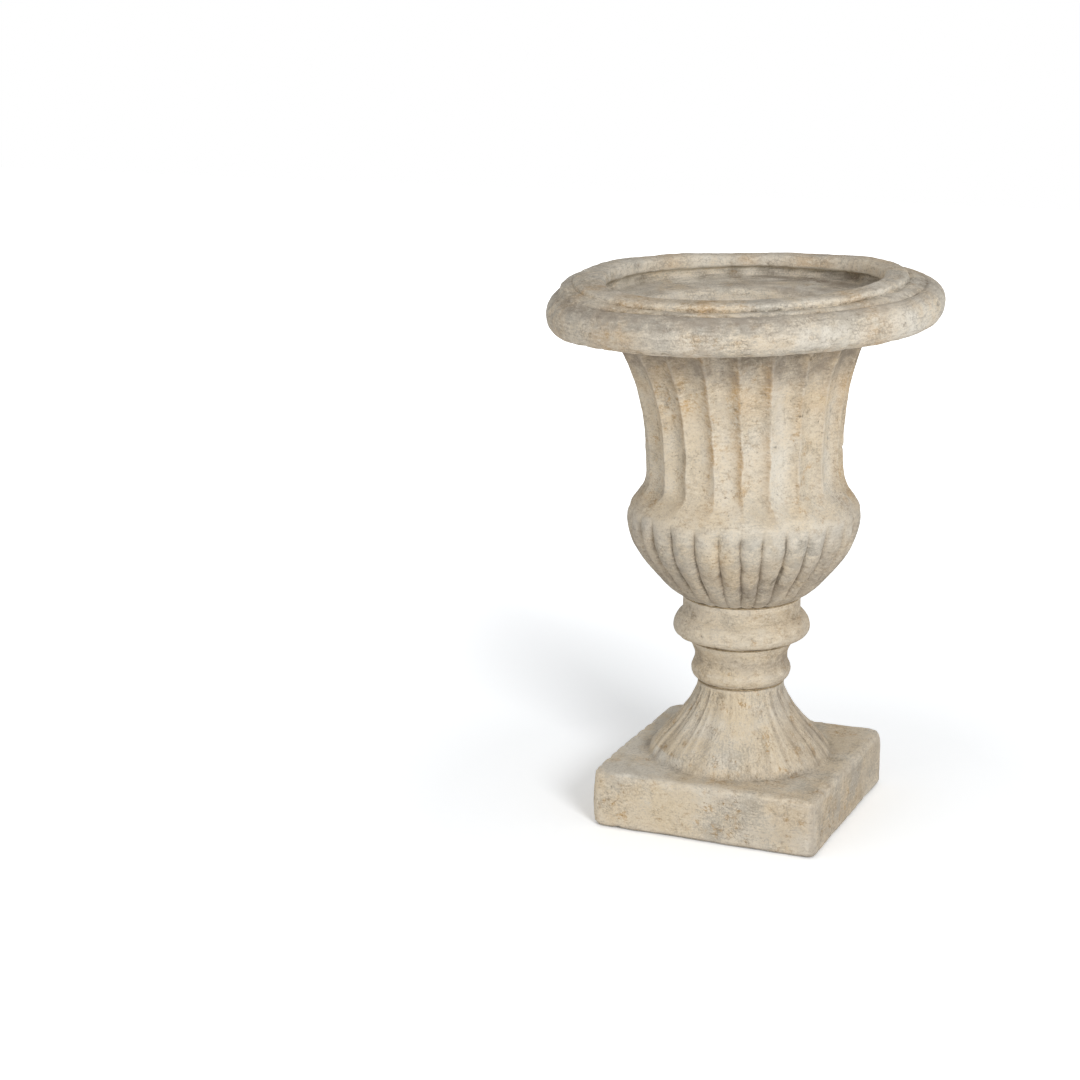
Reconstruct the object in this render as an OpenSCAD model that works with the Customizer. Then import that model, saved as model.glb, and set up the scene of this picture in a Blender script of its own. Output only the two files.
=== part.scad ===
// Campana urn planter in cast stone.
// Five castings stack on mortar beds and are drawn together by a hollow tie tube,
// which is also the drain. Z is up, and the origin is on the ground under the plinth's centre.

/* [Plinth and socle] */
// Side of the square plinth
plinth_w = 268; // [250:1:290]
// Height of the plinth, without its pads
plinth_h = 65; // [56:1:72]
// Radius of the plinth's upright corners
plinth_corner_r = 6; // [3:1:14]
// Chamfer along the plinth's top edges
plinth_chamfer = 3; // [1:0.5:5]
// Height of the flared socle on the plinth
socle_h = 88; // [82:1:94]
// Radius of the socle's bell where it meets the plinth
socle_bell_r = 105; // [98:1:112]
// Radius of the socle's top
socle_top_r = 50; // [47:0.5:52]

/* [Collar and knop] */
// Height of the collar casting
collar_h = 47; // [44:1:50]
// Radius of the collar's bead
bead_r = 57; // [54:0.5:60]
// Height of the knop casting
knop_h = 50.5; // [47:0.5:54]
// Radius of the knop
knop_r = 78.5; // [74:0.5:82]

/* [Bowl] */
// Radius of the bowl's seat on the knop
waist_r = 67.5; // [65:0.5:69]
// Largest radius of the gadrooned bowl
bowl_r = 132.7; // [130:0.1:136]
// Smallest radius of the fluted neck
neck_r = 111.8; // [110:0.1:114]
// Radius of the neck's upright sweep
neck_sweep = 300; // [280:1:340]
// Number of flutes round the neck
flute_count = 20; // [20, 24, 30]
// Depth of a flute
flute_depth = 7; // [3:0.5:9]
// Number of lobes round the bowl
lobe_count = 24; // [20, 24, 30]
// Depth of the valleys between the lobes
lobe_depth = 6; // [3:0.5:7]
// Turn of the lobes from the flutes, in degrees
lobe_turn = 3; // [0:3:9]

/* [Rim] */
// Largest radius of the rim
rim_r = 221; // [216:1:226]
// Radius of the planting mouth
mouth_r = 156; // [152:0.5:160]
// Radius of the half round of the rim
rim_roll_r = 21.5; // [20:0.5:23]
// Width of the flat lip round the mouth
lip_w = 31; // [28:0.5:33]
// Radius of the lip's rounded edges
lip_edge_r = 6.5; // [5:0.5:7]
// Radius of the fillet that steps down from the lip to the roll
step_r = 4.5; // [4:0.25:5]
// Height of the ledge's inner edge above the rim's seat
ledge_h = 22; // [14:1:24]

/* [Joints and hardware] */
// Thickness of the mortar beds
bed_h = 2; // [1:0.5:3]
// Outer radius of the tie tube
tube_r = 13.5; // [13:0.25:14]
// Bore radius of the tie tube
tube_bore_r = 10.85; // [9:0.05:11]
// Radius of the hole through the castings
core_r = 15; // [14.5:0.25:16]
// Width across the flats of the back nuts
nut_af = 41; // [38:0.5:44]
// Side of the square anchor plate
plate_w = 90; // [80:1:110]
// Radius of the drain screen
screen_r = 42; // [40:0.5:46]
// Height of the drain screen
screen_h = 30; // [28:0.5:36]
// Radius of a rim dowel
dowel_r = 4; // [3:0.25:4]
// Height of the rubber pads
pad_h = 2; // [2:0.5:4]
// Radius of the rubber pads
pad_r = 14; // [10:0.5:18]

/* [Hidden] */
round_fn = 96;

// Heights of the stack
plinth_z = pad_h + plinth_h;
foot_top = plinth_z + socle_h;
collar_z = foot_top + bed_h;
collar_top = collar_z + collar_h;
knop_z = collar_top + bed_h;
knop_top = knop_z + knop_h;
bowl_z = knop_top + bed_h;
bowl_h = 307.5;
bowl_top = bowl_z + bowl_h;
rim_z = bowl_top + bed_h;
floor_z = bowl_z + 22;

// Spigot and socket between two castings
spigot_r = 28;
spigot_h = 6;
socket_gap = 0.5;
bed_inset = 2.5;

// Underside of the foot
recess_r = 92;
recess_top = 45;

// Hardware along the tie tube
thin = 3;
nut_h = 12;
hardware_gap = 0.5;
seal_r = 30;
washer_r = 28;
plate_h = 6;
tube_low = recess_top - plate_h - thin - nut_h - 6;
tube_high = floor_z + 2 * thin + nut_h + 3;

// Bowl: centres of the arcs in its outline
widest_z = bowl_z + 88.5;
belly_arc_r = 63.7;
belly_tangent = 41;
shoulder_arc_r = 35;
shoulder_angle = 38;
shoulder_z = widest_z + 3;
neck_foot_z = bowl_z + 129.5;
neck_z = neck_foot_z + 37;
facet_step = 3;
wall = 26;

// Rim: places of its mouldings
roll_x = rim_r - rim_roll_r;
roll_z = rim_z + 23.5;
lip_in = mouth_r + lip_edge_r;
lip_out = mouth_r + lip_w - lip_edge_r;
lip_z = rim_z + 50;
lip_drop = 0.7;
step_x = roll_x - 5.5;
step_z = rim_z + 43;
dowel_circle_r = 131;
dowel_low = bowl_top - 14;
dowel_high = rim_z + 9;

// Points of an arc from angle a0 to a1 about [cx, cz]
function arc(cx, cz, r, a0, a1, n) =
  [for (i = [0:n]) let (a = a0 + (a1 - a0) * i / n) [cx + r * cos(a), cz + r * sin(a)]];

// Points on the straight line from p to q, without q
function steps(p, q, n) = [for (i = [0:n - 1]) p + (q - p) * i / n];

// Ramp from 0 to 1 with soft ends
function ease(t) = let (c = max(0, min(1, t))) c * c * (3 - 2 * c);

module revolve(points) {
  rotate_extrude($fn = round_fn) polygon(points);
}

module core(low, high) {
  translate([0, 0, low - 1]) cylinder(r = core_r, h = high - low + 2, $fn = round_fn);
}

module spigot(z) {
  translate([0, 0, z - 1]) cylinder(r = spigot_r, h = spigot_h + 1, $fn = round_fn);
}

module socket(z) {
  translate([0, 0, z - 1]) cylinder(r = spigot_r + socket_gap, h = spigot_h + 1, $fn = round_fn);
}

module ring(r_in, r_out, z, h) {
  translate([0, 0, z]) difference() {
    cylinder(r = r_out, h = h, $fn = round_fn);
    translate([0, 0, -1]) cylinder(r = r_in, h = h + 2, $fn = round_fn);
  }
}

module hoop(r, z, wire_r) {
  rotate_extrude($fn = round_fn) translate([r, z]) circle(r = wire_r, $fn = 24);
}

// Square with rounded upright corners
module plinth_plan() {
  straight = plinth_w - 2 * plinth_corner_r;
  square([straight, plinth_w], center = true);
  square([plinth_w, straight], center = true);
  for (x = [-1, 1], y = [-1, 1])
    translate([x, y] * straight / 2) circle(r = plinth_corner_r, $fn = 32);
}

// Side view of the plinth, with its chamfered top edges
module plinth_side() {
  half = plinth_w / 2;
  linear_extrude(plinth_w + 2, center = true)
    polygon([
      [-half - 1, pad_h], [half + 1, pad_h], [half + 1, plinth_z - plinth_chamfer - 1],
      [half - plinth_chamfer, plinth_z], [-half + plinth_chamfer, plinth_z],
      [-half - 1, plinth_z - plinth_chamfer - 1]
    ]);
}

// Bell that flares from the socle's neck to the plinth
function socle_outline() = concat(
  [[0, plinth_z - 1], [socle_bell_r, plinth_z - 1], [socle_bell_r, plinth_z + 4]],
  arc(socle_bell_r - 30, plinth_z + 4, 30, 10, 46, 4),
  [[socle_bell_r - 24.5, plinth_z + 34]],
  arc(socle_top_r + 46, foot_top - 3, 46, 218, 178, 6),
  [[socle_top_r + 0.8, foot_top], [0, foot_top]]
);

module foot_casting() {
  color("tan") difference() {
    union() {
      intersection() {
        translate([0, 0, pad_h]) linear_extrude(plinth_h) plinth_plan();
        rotate([90, 0, 0]) plinth_side();
        rotate([90, 0, 90]) plinth_side();
      }
      revolve(socle_outline());
      spigot(foot_top);
    }
    translate([0, 0, pad_h - 1]) cylinder(r = recess_r, h = recess_top - pad_h + 1, $fn = round_fn);
    core(recess_top, foot_top + spigot_h);
    bar_frame();
  }
}

// Round bead that starts at the joint, and a cove that spreads under the knop
function collar_outline() = concat(
  [[0, collar_z], [socle_top_r + 1, collar_z]],
  arc(bead_r - 11.5, collar_z + 12.5, 11.5, -58, 55, 9),
  arc(bead_r + 12, collar_z + 29, 15.5, 200, 148, 5),
  [[bead_r + 2.5, collar_top], [0, collar_top]]
);

module collar_casting() {
  color("tan") difference() {
    union() {
      revolve(collar_outline());
      spigot(collar_top);
    }
    core(collar_z, collar_top + spigot_h);
    socket(collar_z);
  }
}

// Half round, and the upright neck that it leaves under the bowl
function knop_outline() = concat(
  [[0, knop_z], [bead_r + 3.5, knop_z], [bead_r + 5, knop_z + 1.5]],
  arc(knop_r - 15.5, knop_z + 16.5, 15.5, -64, 62, 12),
  [[waist_r + 0.5, knop_z + 33.5], [waist_r - 0.5, knop_z + 40], [waist_r, knop_top], [0, knop_top]]
);

module knop_casting() {
  color("tan") difference() {
    union() {
      revolve(knop_outline());
      spigot(knop_top);
    }
    core(knop_z, knop_top + spigot_h);
    socket(knop_z);
  }
}

// Outline of the bowl before it is fluted and lobed, from its seat to its top
belly_x = bowl_r - belly_arc_r;
belly_foot = [belly_x + belly_arc_r * cos(belly_tangent), widest_z - belly_arc_r * sin(belly_tangent)];
cup_point = [waist_r + 18, bowl_z + 11];
shoulder_x = bowl_r - shoulder_arc_r;
shoulder_end = [
  shoulder_x + shoulder_arc_r * cos(shoulder_angle),
  shoulder_z + shoulder_arc_r * sin(shoulder_angle)
];
neck_foot = [neck_r + 2.5, neck_foot_z];
neck_centre = neck_r + neck_sweep;
function neck_outline_r(z) = neck_centre - sqrt(pow(neck_sweep, 2) - pow(z - neck_z, 2));
neck_rings = 11;
bowl_outline = concat(
  [[waist_r + 2.5, bowl_z], [waist_r + 5.5, bowl_z + 1.5], [waist_r + 11, bowl_z + 5.5]],
  steps(cup_point, belly_foot, 3),
  arc(belly_x, widest_z, belly_arc_r, -belly_tangent, 0, 5),
  arc(shoulder_x, shoulder_z, shoulder_arc_r, 0, shoulder_angle, 4),
  [(shoulder_end + neck_foot) / 2],
  [for (i = [0:neck_rings])
    let (z = neck_foot_z + (bowl_top - neck_foot_z) * i / neck_rings) [neck_outline_r(z), z]]
);

// How far the flutes and the valleys are cut at a height, from 0 to 1
flute_foot_z = neck_foot_z - 12;
flute_run = 30;
flute_top_run = 8;
valley_top_z = widest_z + 25;
valley_run = 9;
valley_foot = 0.35;
valley_foot_run = 55;
function flute_reach(z) = ease((z - flute_foot_z) / flute_run) * ease((bowl_top - z) / flute_top_run);
function valley_reach(z) = ease((valley_top_z - z) / valley_run)
  * (valley_foot + (1 - valley_foot) * ease((z - bowl_z) / valley_foot_run));

// Scoop between two arrises, and valley between two round lobes: both 1 at their deepest
function scoop(u) = 1 - pow(2 * u - 1, 2);
function valley(u) = 1 - sqrt(1 - pow(2 * u - 1, 2));
function turn_share(a, count) = let (t = a * count / 360) t - floor(t);

function bowl_point(ring_at, a) =
  let (
    z = ring_at[1],
    cut = flute_depth * flute_reach(z) * scoop(turn_share(a, flute_count))
      + lobe_depth * valley_reach(z) * valley(turn_share(a - lobe_turn, lobe_count)),
    r = ring_at[0] - cut
  )
  [r * cos(a - 90), r * sin(a - 90), z];

// Fluted and lobed body as one closed skin
module bowl_body() {
  n = 360 / facet_step;
  m = len(bowl_outline);
  points = [for (at = bowl_outline) for (i = [0:n - 1]) bowl_point(at, i * facet_step)];
  sides = [
    for (j = [0:m - 2]) for (i = [0:n - 1])
      let (k = (i + 1) % n, low = j * n, high = low + n)
      each [[low + i, high + i, high + k], [low + i, high + k, low + k]]
  ];
  seat = [for (i = [0:n - 1]) i];
  top = [for (i = [n - 1:-1:0]) (m - 1) * n + i];
  polyhedron(points = points, faces = concat([seat], sides, [top]), convexity = 6);
}

// Hollow of the bowl: the neck's wall is even, and the floor is flat round the drain
function bowl_hollow() = concat(
  [[0, floor_z], [screen_r + 14, floor_z], [bowl_r - 58, floor_z + 13]],
  arc(belly_x, widest_z, belly_arc_r - wall, -36, 10, 7),
  [for (i = [0:8])
    let (z = neck_foot_z + (bowl_top - neck_foot_z) * i / 8) [neck_outline_r(z) - wall, z]],
  [[neck_outline_r(bowl_top) - wall, bowl_top + 1], [0, bowl_top + 1]]
);

module bowl_casting() {
  color("wheat") difference() {
    bowl_body();
    revolve(bowl_hollow());
    core(bowl_z, floor_z);
    socket(bowl_z);
    dowels(dowel_r + socket_gap / 2);
    hoop_wire_in_bowl();
  }
}

// Rolled rim, step and flat lip outside, undercut and sloping ledge inside
module rim_section() {
  seat_in = neck_outline_r(bowl_top) - wall + 2;
  seat_out = neck_outline_r(bowl_top) + 4;
  translate([roll_x, roll_z]) circle(r = rim_roll_r, $fn = 64);
  translate([lip_in, lip_z]) circle(r = lip_edge_r, $fn = 48);
  translate([lip_out, lip_z - lip_drop]) circle(r = lip_edge_r, $fn = 48);
  translate([step_x, step_z]) circle(r = step_r, $fn = 32);
  polygon([
    [seat_in, rim_z], [seat_out, rim_z], [roll_x, roll_z - rim_roll_r],
    [roll_x, roll_z + rim_roll_r - 1], [step_x, step_z + step_r], [lip_out, step_z + step_r],
    [lip_out, lip_z + lip_edge_r - lip_drop], [lip_in, lip_z + lip_edge_r], [mouth_r, lip_z],
    [mouth_r + 0.4, lip_z - 6], [mouth_r + 9, lip_z - 8], [mouth_r + 13, roll_z + 9.5],
    [mouth_r + 11, roll_z + 6.5], [seat_in, rim_z + ledge_h]
  ]);
}

module rim_casting() {
  color("wheat") difference() {
    rotate_extrude($fn = round_fn) rim_section();
    dowels(dowel_r + socket_gap / 2);
    hoop_wire_in_rim();
  }
}

// Mortar beds, raked back from the face of each joint
module foot_bed() {
  color("dimgray") ring(spigot_r + socket_gap, socle_top_r - bed_inset, foot_top, bed_h);
}

module collar_bed() {
  color("dimgray") ring(spigot_r + socket_gap, bead_r - bed_inset, collar_top, bed_h);
}

module knop_bed() {
  color("dimgray") ring(spigot_r + socket_gap, waist_r - 2 * bed_inset, knop_top, bed_h);
}

module rim_bed() {
  outer = neck_outline_r(bowl_top);
  color("dimgray") difference() {
    ring(outer - wall + 3, outer - bed_inset, bowl_top, bed_h);
    dowels(dowel_r + socket_gap / 2);
  }
}

module tie_tube() {
  color("silver") ring(tube_bore_r, tube_r, tube_low, tube_high - tube_low);
}

module floor_seal() {
  color("black") ring(tube_r + hardware_gap, seal_r, floor_z, thin);
}

module top_washer() {
  color("silver") ring(tube_r + hardware_gap, washer_r, floor_z + thin, thin);
}

module back_nut(z) {
  color("goldenrod") translate([0, 0, z]) difference() {
    cylinder(d = nut_af / cos(30), h = nut_h, $fn = 6);
    translate([0, 0, -1]) cylinder(r = tube_r, h = nut_h + 2, $fn = round_fn);
  }
}

module top_nut() {
  back_nut(floor_z + 2 * thin);
}

module anchor_plate() {
  color("silver") translate([0, 0, recess_top - plate_h]) difference() {
    translate([-plate_w / 2, -plate_w / 2, 0]) cube([plate_w, plate_w, plate_h]);
    translate([0, 0, -1]) cylinder(r = tube_r + hardware_gap, h = plate_h + 2, $fn = round_fn);
  }
}

// Split ring that keeps the tie tight as the beds settle
module spring_washer() {
  outer = tube_r + 8;
  color("silver") difference() {
    ring(tube_r + hardware_gap, outer, recess_top - plate_h - thin, thin);
    translate([0, -1, recess_top - plate_h - thin - 1]) cube([outer + 1, 2, thin + 2]);
  }
}

module bottom_nut() {
  back_nut(recess_top - plate_h - thin - nut_h);
}

// Loose cap over the drain, slotted at its side and top so that soil stays in
module drain_screen() {
  skin = 2;
  slot_w = 4;
  slot_count = 16;
  top_slots = 8;
  color("gray") translate([0, 0, floor_z]) difference() {
    cylinder(r = screen_r, h = screen_h, $fn = round_fn);
    translate([0, 0, -1]) cylinder(r = screen_r - skin, h = screen_h - skin + 1, $fn = round_fn);
    for (i = [0:slot_count - 1]) rotate([0, 0, i * 360 / slot_count])
      translate([screen_r - 2 * skin, -slot_w / 2, 4]) cube([3 * skin, slot_w, screen_h - 12]);
    for (i = [0:top_slots - 1]) rotate([0, 0, i * 360 / top_slots])
      translate([10, -slot_w / 2, screen_h - skin - 1]) cube([screen_r - 20, slot_w, skin + 2]);
  }
}

module dowels(r) {
  for (i = [0:3]) rotate([0, 0, i * 90])
    translate([dowel_circle_r, 0, dowel_low])
      cylinder(r = r, h = dowel_high - dowel_low, $fn = 32);
}

module rim_dowels() {
  color("silver") dowels(dowel_r);
}

module hoop_wire_in_rim() {
  hoop(roll_x - 4, roll_z - 2, 4);
}

module rim_hoop() {
  color("silver") hoop_wire_in_rim();
}

module hoop_wire_in_bowl() {
  hoop(bowl_r - 16, widest_z, 3);
}

module bowl_hoop() {
  color("silver") hoop_wire_in_bowl();
}

// Square frame of reinforcing bar in the plinth's outer wall
module bar_frame() {
  bar = 8;
  outer = plinth_w - 36;
  translate([0, 0, plinth_z / 2]) difference() {
    cube([outer, outer, bar], center = true);
    cube([outer - 2 * bar, outer - 2 * bar, bar + 2], center = true);
  }
}

module plinth_bars() {
  color("silver") bar_frame();
}

module foot_pads() {
  reach = plinth_w / 2 - 25;
  color("black") for (x = [-1, 1], y = [-1, 1])
    translate([x * reach, y * reach, 0]) cylinder(r = pad_r, h = pad_h, $fn = 48);
}

foot_casting();
collar_casting();
knop_casting();
bowl_casting();
rim_casting();
foot_bed();
collar_bed();
knop_bed();
rim_bed();
tie_tube();
floor_seal();
top_washer();
top_nut();
anchor_plate();
spring_washer();
bottom_nut();
drain_screen();
rim_dowels();
rim_hoop();
bowl_hoop();
plinth_bars();
foot_pads();
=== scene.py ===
import math
import bpy
import numpy as np
from mathutils import Matrix, Vector, noise


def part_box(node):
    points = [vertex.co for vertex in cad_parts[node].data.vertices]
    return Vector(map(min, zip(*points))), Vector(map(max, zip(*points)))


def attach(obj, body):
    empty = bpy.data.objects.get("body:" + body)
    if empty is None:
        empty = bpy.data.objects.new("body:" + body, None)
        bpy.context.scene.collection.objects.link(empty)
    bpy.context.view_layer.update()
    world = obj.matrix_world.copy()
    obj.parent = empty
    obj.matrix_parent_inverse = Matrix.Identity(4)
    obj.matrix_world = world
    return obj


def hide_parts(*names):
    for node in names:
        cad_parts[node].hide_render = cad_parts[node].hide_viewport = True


# Campana urn planter in aged cast stone, dressed round its packed castings.
# Lengths in the dictionaries are millimetres, and heights are above each casting's own seat.

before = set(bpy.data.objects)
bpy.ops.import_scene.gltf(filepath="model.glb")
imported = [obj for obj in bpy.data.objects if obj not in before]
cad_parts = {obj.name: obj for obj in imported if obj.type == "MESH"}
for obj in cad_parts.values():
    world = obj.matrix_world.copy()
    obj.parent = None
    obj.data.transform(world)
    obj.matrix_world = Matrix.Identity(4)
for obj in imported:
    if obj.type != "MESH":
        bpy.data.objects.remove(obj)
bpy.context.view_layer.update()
print("frame loaded")

mm = 0.001
weldGap = 0.02 * mm
noiseGain = 1.6             # brings the noise to about -1 to 1
seedStep = (3.1, 1.7, 2.3)  # how far the noise moves for a seed of 1
urnBody = "urn"


def smoothStep(t):
    c = np.clip(t, 0.0, 1.0)
    return c * c * (3 - 2 * c)


# 0 up to a start, and the strength past a run beyond it: with a run below 0, beyond is lower
def fade(value, start, run, strength=1.0):
    return strength * smoothStep((value - start) / run)


# 0 outside a low and a high place, and the strength inside them, past a run at each end
def between(value, low, lowRun, high, highRun, strength=1.0):
    return strength * fade(value, low, lowRun) * fade(value, high, -highRun)


# The strength at the middle, and less with the distance from it
def swell(value, middle, width, strength=1.0):
    return strength * np.exp(-((value - middle) / width) ** 2)


def seatOf(node):
    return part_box(node)[0].z


def clearSelection():
    if bpy.context.object and bpy.context.object.mode != "OBJECT":
        bpy.ops.object.mode_set(mode="OBJECT")
    bpy.ops.object.select_all(action="DESELECT")


def pick(piece):
    clearSelection()
    piece.select_set(True)
    bpy.context.view_layer.objects.active = piece


def settleTransform(piece):
    pick(piece)
    bpy.ops.object.transform_apply(location=True, rotation=True, scale=True)


def runModifier(piece, kind, **settings):
    pick(piece)
    modifier = piece.modifiers.new(kind.lower(), kind)
    for key, value in settings.items():
        setattr(modifier, key, value)
    bpy.ops.object.modifier_apply(modifier=modifier.name)


def readVectors(source, name, count):
    flat = np.zeros(count * 3, np.float64)
    source.foreach_get(name, flat)
    return flat.reshape(-1, 3)


def pointsOf(piece):
    return readVectors(piece.data.vertices, "co", len(piece.data.vertices))


def normalsOf(piece):
    return readVectors(piece.data.vertex_normals, "vector", len(piece.data.vertices))


def movePoints(piece, points):
    piece.data.vertices.foreach_set("co", points.astype(np.float32).ravel())
    piece.data.update()


# Radius and height in mm, and degrees round the axis from -Y towards +X
def turnedPlace(points, seat):
    return (np.hypot(points[:, 0], points[:, 1]) / mm, (points[:, 2] - seat) / mm,
            np.degrees(np.arctan2(points[:, 0], -points[:, 1])))


# Slow wander from about -1 to 1 along a surface
def wander(points, size, seed):
    shift = Vector([seed * step for step in seedStep])
    return np.array([noise.noise(Vector(p) / (size * mm) + shift) for p in points]) * noiseGain


# Patches of a size, which swing to either side of a level
def patchy(points, size, seed, level, swing):
    return level + swing * wander(points, size, seed)


# A smooth curve through given points, sampled at a spacing
def trace(spacing, points):
    p = [np.array(q, float) for q in points]
    p = [2 * p[0] - p[1]] + p + [2 * p[-1] - p[-2]]
    run = []
    for p0, p1, p2, p3 in zip(p, p[1:], p[2:], p[3:]):
        count = max(1, round(float(np.linalg.norm(p2 - p1)) / spacing))
        for t in np.arange(count) / count:
            run.append(0.5 * (2 * p1 + (p2 - p0) * t + (2 * p0 - 5 * p1 + 4 * p2 - p3) * t * t
                              + (3 * p1 - p0 - 3 * p2 + p3) * t ** 3))
    return run


# Straight strokes from corner to corner, each sampled at its own spacing
def straights(spacings, corners):
    return [(spacing, [start, end]) for spacing, start, end in zip(spacings, corners, corners[1:])]


# Turns an outline about the urn's axis, as on a lathe. The strokes are (spacing, points), they
# meet at corners and close on the first point. Also gives each point's distance along the
# outline, and the number of its stroke.
def turn(name, plan, seat):
    strokes = [trace(*stroke) for stroke in plan["outline"]]
    owner = np.repeat(np.arange(len(strokes)), [len(run) for run in strokes])
    outline = np.concatenate(strokes) * mm
    outline[:, 1] += seat
    # a small plane merged to one point, which is then extruded along the outline
    clearSelection()
    bpy.ops.mesh.primitive_plane_add(size=2 * mm, location=(outline[0][0], 0, outline[0][1]))
    piece = bpy.context.object
    piece.name = name
    settleTransform(piece)
    bpy.ops.object.mode_set(mode="EDIT")
    bpy.ops.mesh.select_mode(type="VERT")
    bpy.ops.mesh.select_all(action="SELECT")
    bpy.ops.mesh.merge(type="CENTER")
    for step in np.roll(outline, -1, axis=0) - outline:
        bpy.ops.mesh.extrude_region_move(TRANSFORM_OT_translate={"value": (step[0], 0, step[1])})
    bpy.ops.mesh.select_all(action="SELECT")
    bpy.ops.mesh.spin(steps=plan["segments"], angle=math.tau, center=(0, 0, 0), axis=(0, 0, 1))
    bpy.ops.mesh.select_all(action="SELECT")
    bpy.ops.mesh.remove_doubles(threshold=weldGap)
    bpy.ops.mesh.normals_make_consistent(inside=False)
    bpy.ops.object.mode_set(mode="OBJECT")
    points = pointsOf(piece)
    flat = np.stack([np.hypot(points[:, 0], points[:, 1]), points[:, 2]], 1)
    gaps = [np.linalg.norm(flat - q, axis=1) for q in outline]
    steps = np.linalg.norm(np.diff(outline, axis=0), axis=1)
    nearest = np.argmin(gaps, axis=0)
    return piece, np.concatenate([[0], np.cumsum(steps)])[nearest] / mm, owner[nearest]


# Pushes the surface in along its normal by a share of the depth that each point is given
def carve(piece, share, depth, leastShare=0.001):
    group = piece.vertex_groups.new(name="carved")
    for index in np.flatnonzero(share > leastShare):
        group.add([int(index)], float(min(share[index], 1.0)), "REPLACE")
    runModifier(piece, "DISPLACE", vertex_group="carved", strength=-depth * mm,
                mid_level=0.0, direction="NORMAL")
    piece.vertex_groups.remove(piece.vertex_groups["carved"])


# Lumps, each kind with its size and height in mm
def roughen(piece, lumps):
    for size, height in lumps:
        texture = bpy.data.textures.new("lumps", "CLOUDS")
        texture.noise_scale = size * mm
        texture.noise_depth = 2
        runModifier(piece, "DISPLACE", texture=texture, texture_coords="LOCAL",
                    direction="NORMAL", mid_level=0.5, strength=height * mm)


# Knocks flakes off the surface at places picked among some of its points: a flake is at full
# depth up to a quarter of its size from its place, and gone at the reach
def chip(piece, dice, where, count, sizes, depth, reach=1.25):
    points = pointsOf(piece)
    normals = normalsOf(piece)
    for index in dice.choice(np.flatnonzero(where), count):
        gap = np.linalg.norm(points - points[index], axis=1) / (dice.uniform(*sizes) * mm)
        points -= normals * (smoothStep(reach - gap) * depth * mm)[:, None]
    movePoints(piece, points)


def paint(piece, name, values):
    attribute = piece.data.attributes.new(name, "FLOAT", "POINT")
    attribute.data.foreach_set("value", np.clip(values, 0, 1).astype(np.float32))


# Where each point lies in the brush marks, which are drawn out along the third axis
def layStrokes(piece, lay):
    attribute = piece.data.attributes.new("lay", "FLOAT_VECTOR", "POINT")
    attribute.data.foreach_set("vector", lay.astype(np.float32).ravel())


# Brush marks on a turned piece, that run round it or down it: reach is how much shorter the
# marks are across than along
def turnedLay(radius, angle, along, way, reach):
    around = np.radians(angle)
    middle = float(np.median(radius))
    if way == "round":
        return np.stack([np.cos(around) * middle * reach, np.sin(around) * middle * reach, along], 1) * mm
    return np.stack([np.cos(around) * middle, np.sin(around) * middle, along * reach], 1) * mm


# A value that changes smoothly round the rim, from one given at each even step
def roundStops(angle, values):
    spacing = 360 / len(values)
    total = 0
    for index, value in enumerate(values):
        away = np.abs((angle - index * spacing) % 360 - 180)
        total = total + value * smoothStep((away - 180 + spacing) / spacing)
    return total


# How far each point stands under or over its own smoothed shape, kept for the material:
# hollow is 1 deep in a crevice, and worn is 1 on a proud edge. Keep is the share of the
# hollows that stays, and more is laid on top of them.
def markWear(piece, rounds=12, reach=0.7, keep=1.0, more=0.0):
    mesh = piece.data
    points = pointsOf(piece)
    edges = np.zeros(len(mesh.edges) * 2, np.int64)
    mesh.edges.foreach_get("vertices", edges)
    a, b = edges.reshape(-1, 2).T
    n = len(points)
    count = np.maximum(np.bincount(a, minlength=n) + np.bincount(b, minlength=n), 1)
    smooth = points.copy()
    for _ in range(rounds):
        smooth = np.stack([(np.bincount(a, column[b], n) + np.bincount(b, column[a], n)) / count
                           for column in smooth.T], 1)
    gap = np.einsum("ij,ij->i", smooth - points, normalsOf(piece)) / (reach * mm)
    paint(piece, "hollow", gap * keep + more)
    paint(piece, "worn", -gap)


# Colour dabbed on by hand round a piece: each spot is (degrees, width in degrees, strength)
def dabsRound(facing, spots):
    return sum(swell((facing - at + 180) % 360 - 180, 0, width, strength)
               for at, width, strength in spots)


# Handmade sections sit a little out of true: the rim tips and has slid to one side
lean = {
    "viewTurn": 19.1,       # the lean is seen square on from here, degrees from -Y towards +X
    "startHeight": 430,
    "fullHeight": 575,
    "slide": -5.0,          # to the viewer's right, and below 0 to the left
    "sideways": 1.28,       # degrees, right side up
    "back": 0.55,           # degrees, far side up
    "shoulderSlide": 2.3,   # the shoulder goes the other way
    "shoulderHeight": 382,
    "shoulderSpread": 26,
}


def leanOver(piece):
    points = pointsOf(piece)
    facing = math.radians(lean["viewTurn"])
    away = np.array((-math.sin(facing), math.cos(facing), 0))
    right = np.array((math.cos(facing), math.sin(facing), 0))
    z = points[:, 2] / mm
    share = fade(z, lean["startHeight"], lean["fullHeight"] - lean["startHeight"])
    rise = (points @ right) * math.tan(math.radians(lean["sideways"]))
    rise += (points @ away) * math.tan(math.radians(lean["back"]))
    bulge = swell(z, lean["shoulderHeight"], lean["shoulderSpread"])
    points[:, 2] += rise * share
    points += np.outer((share * lean["slide"] + bulge * lean["shoulderSlide"]) * mm, right)
    movePoints(piece, points)


def finishPiece(piece, material, node, angle=60):
    piece.data.materials.clear()
    piece.data.materials.append(material)
    pick(piece)
    bpy.ops.object.shade_smooth_by_angle(angle=math.radians(angle))
    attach(piece, urnBody)
    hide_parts(node)
    print("finished", piece.name, len(piece.data.polygons), "faces")


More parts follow.
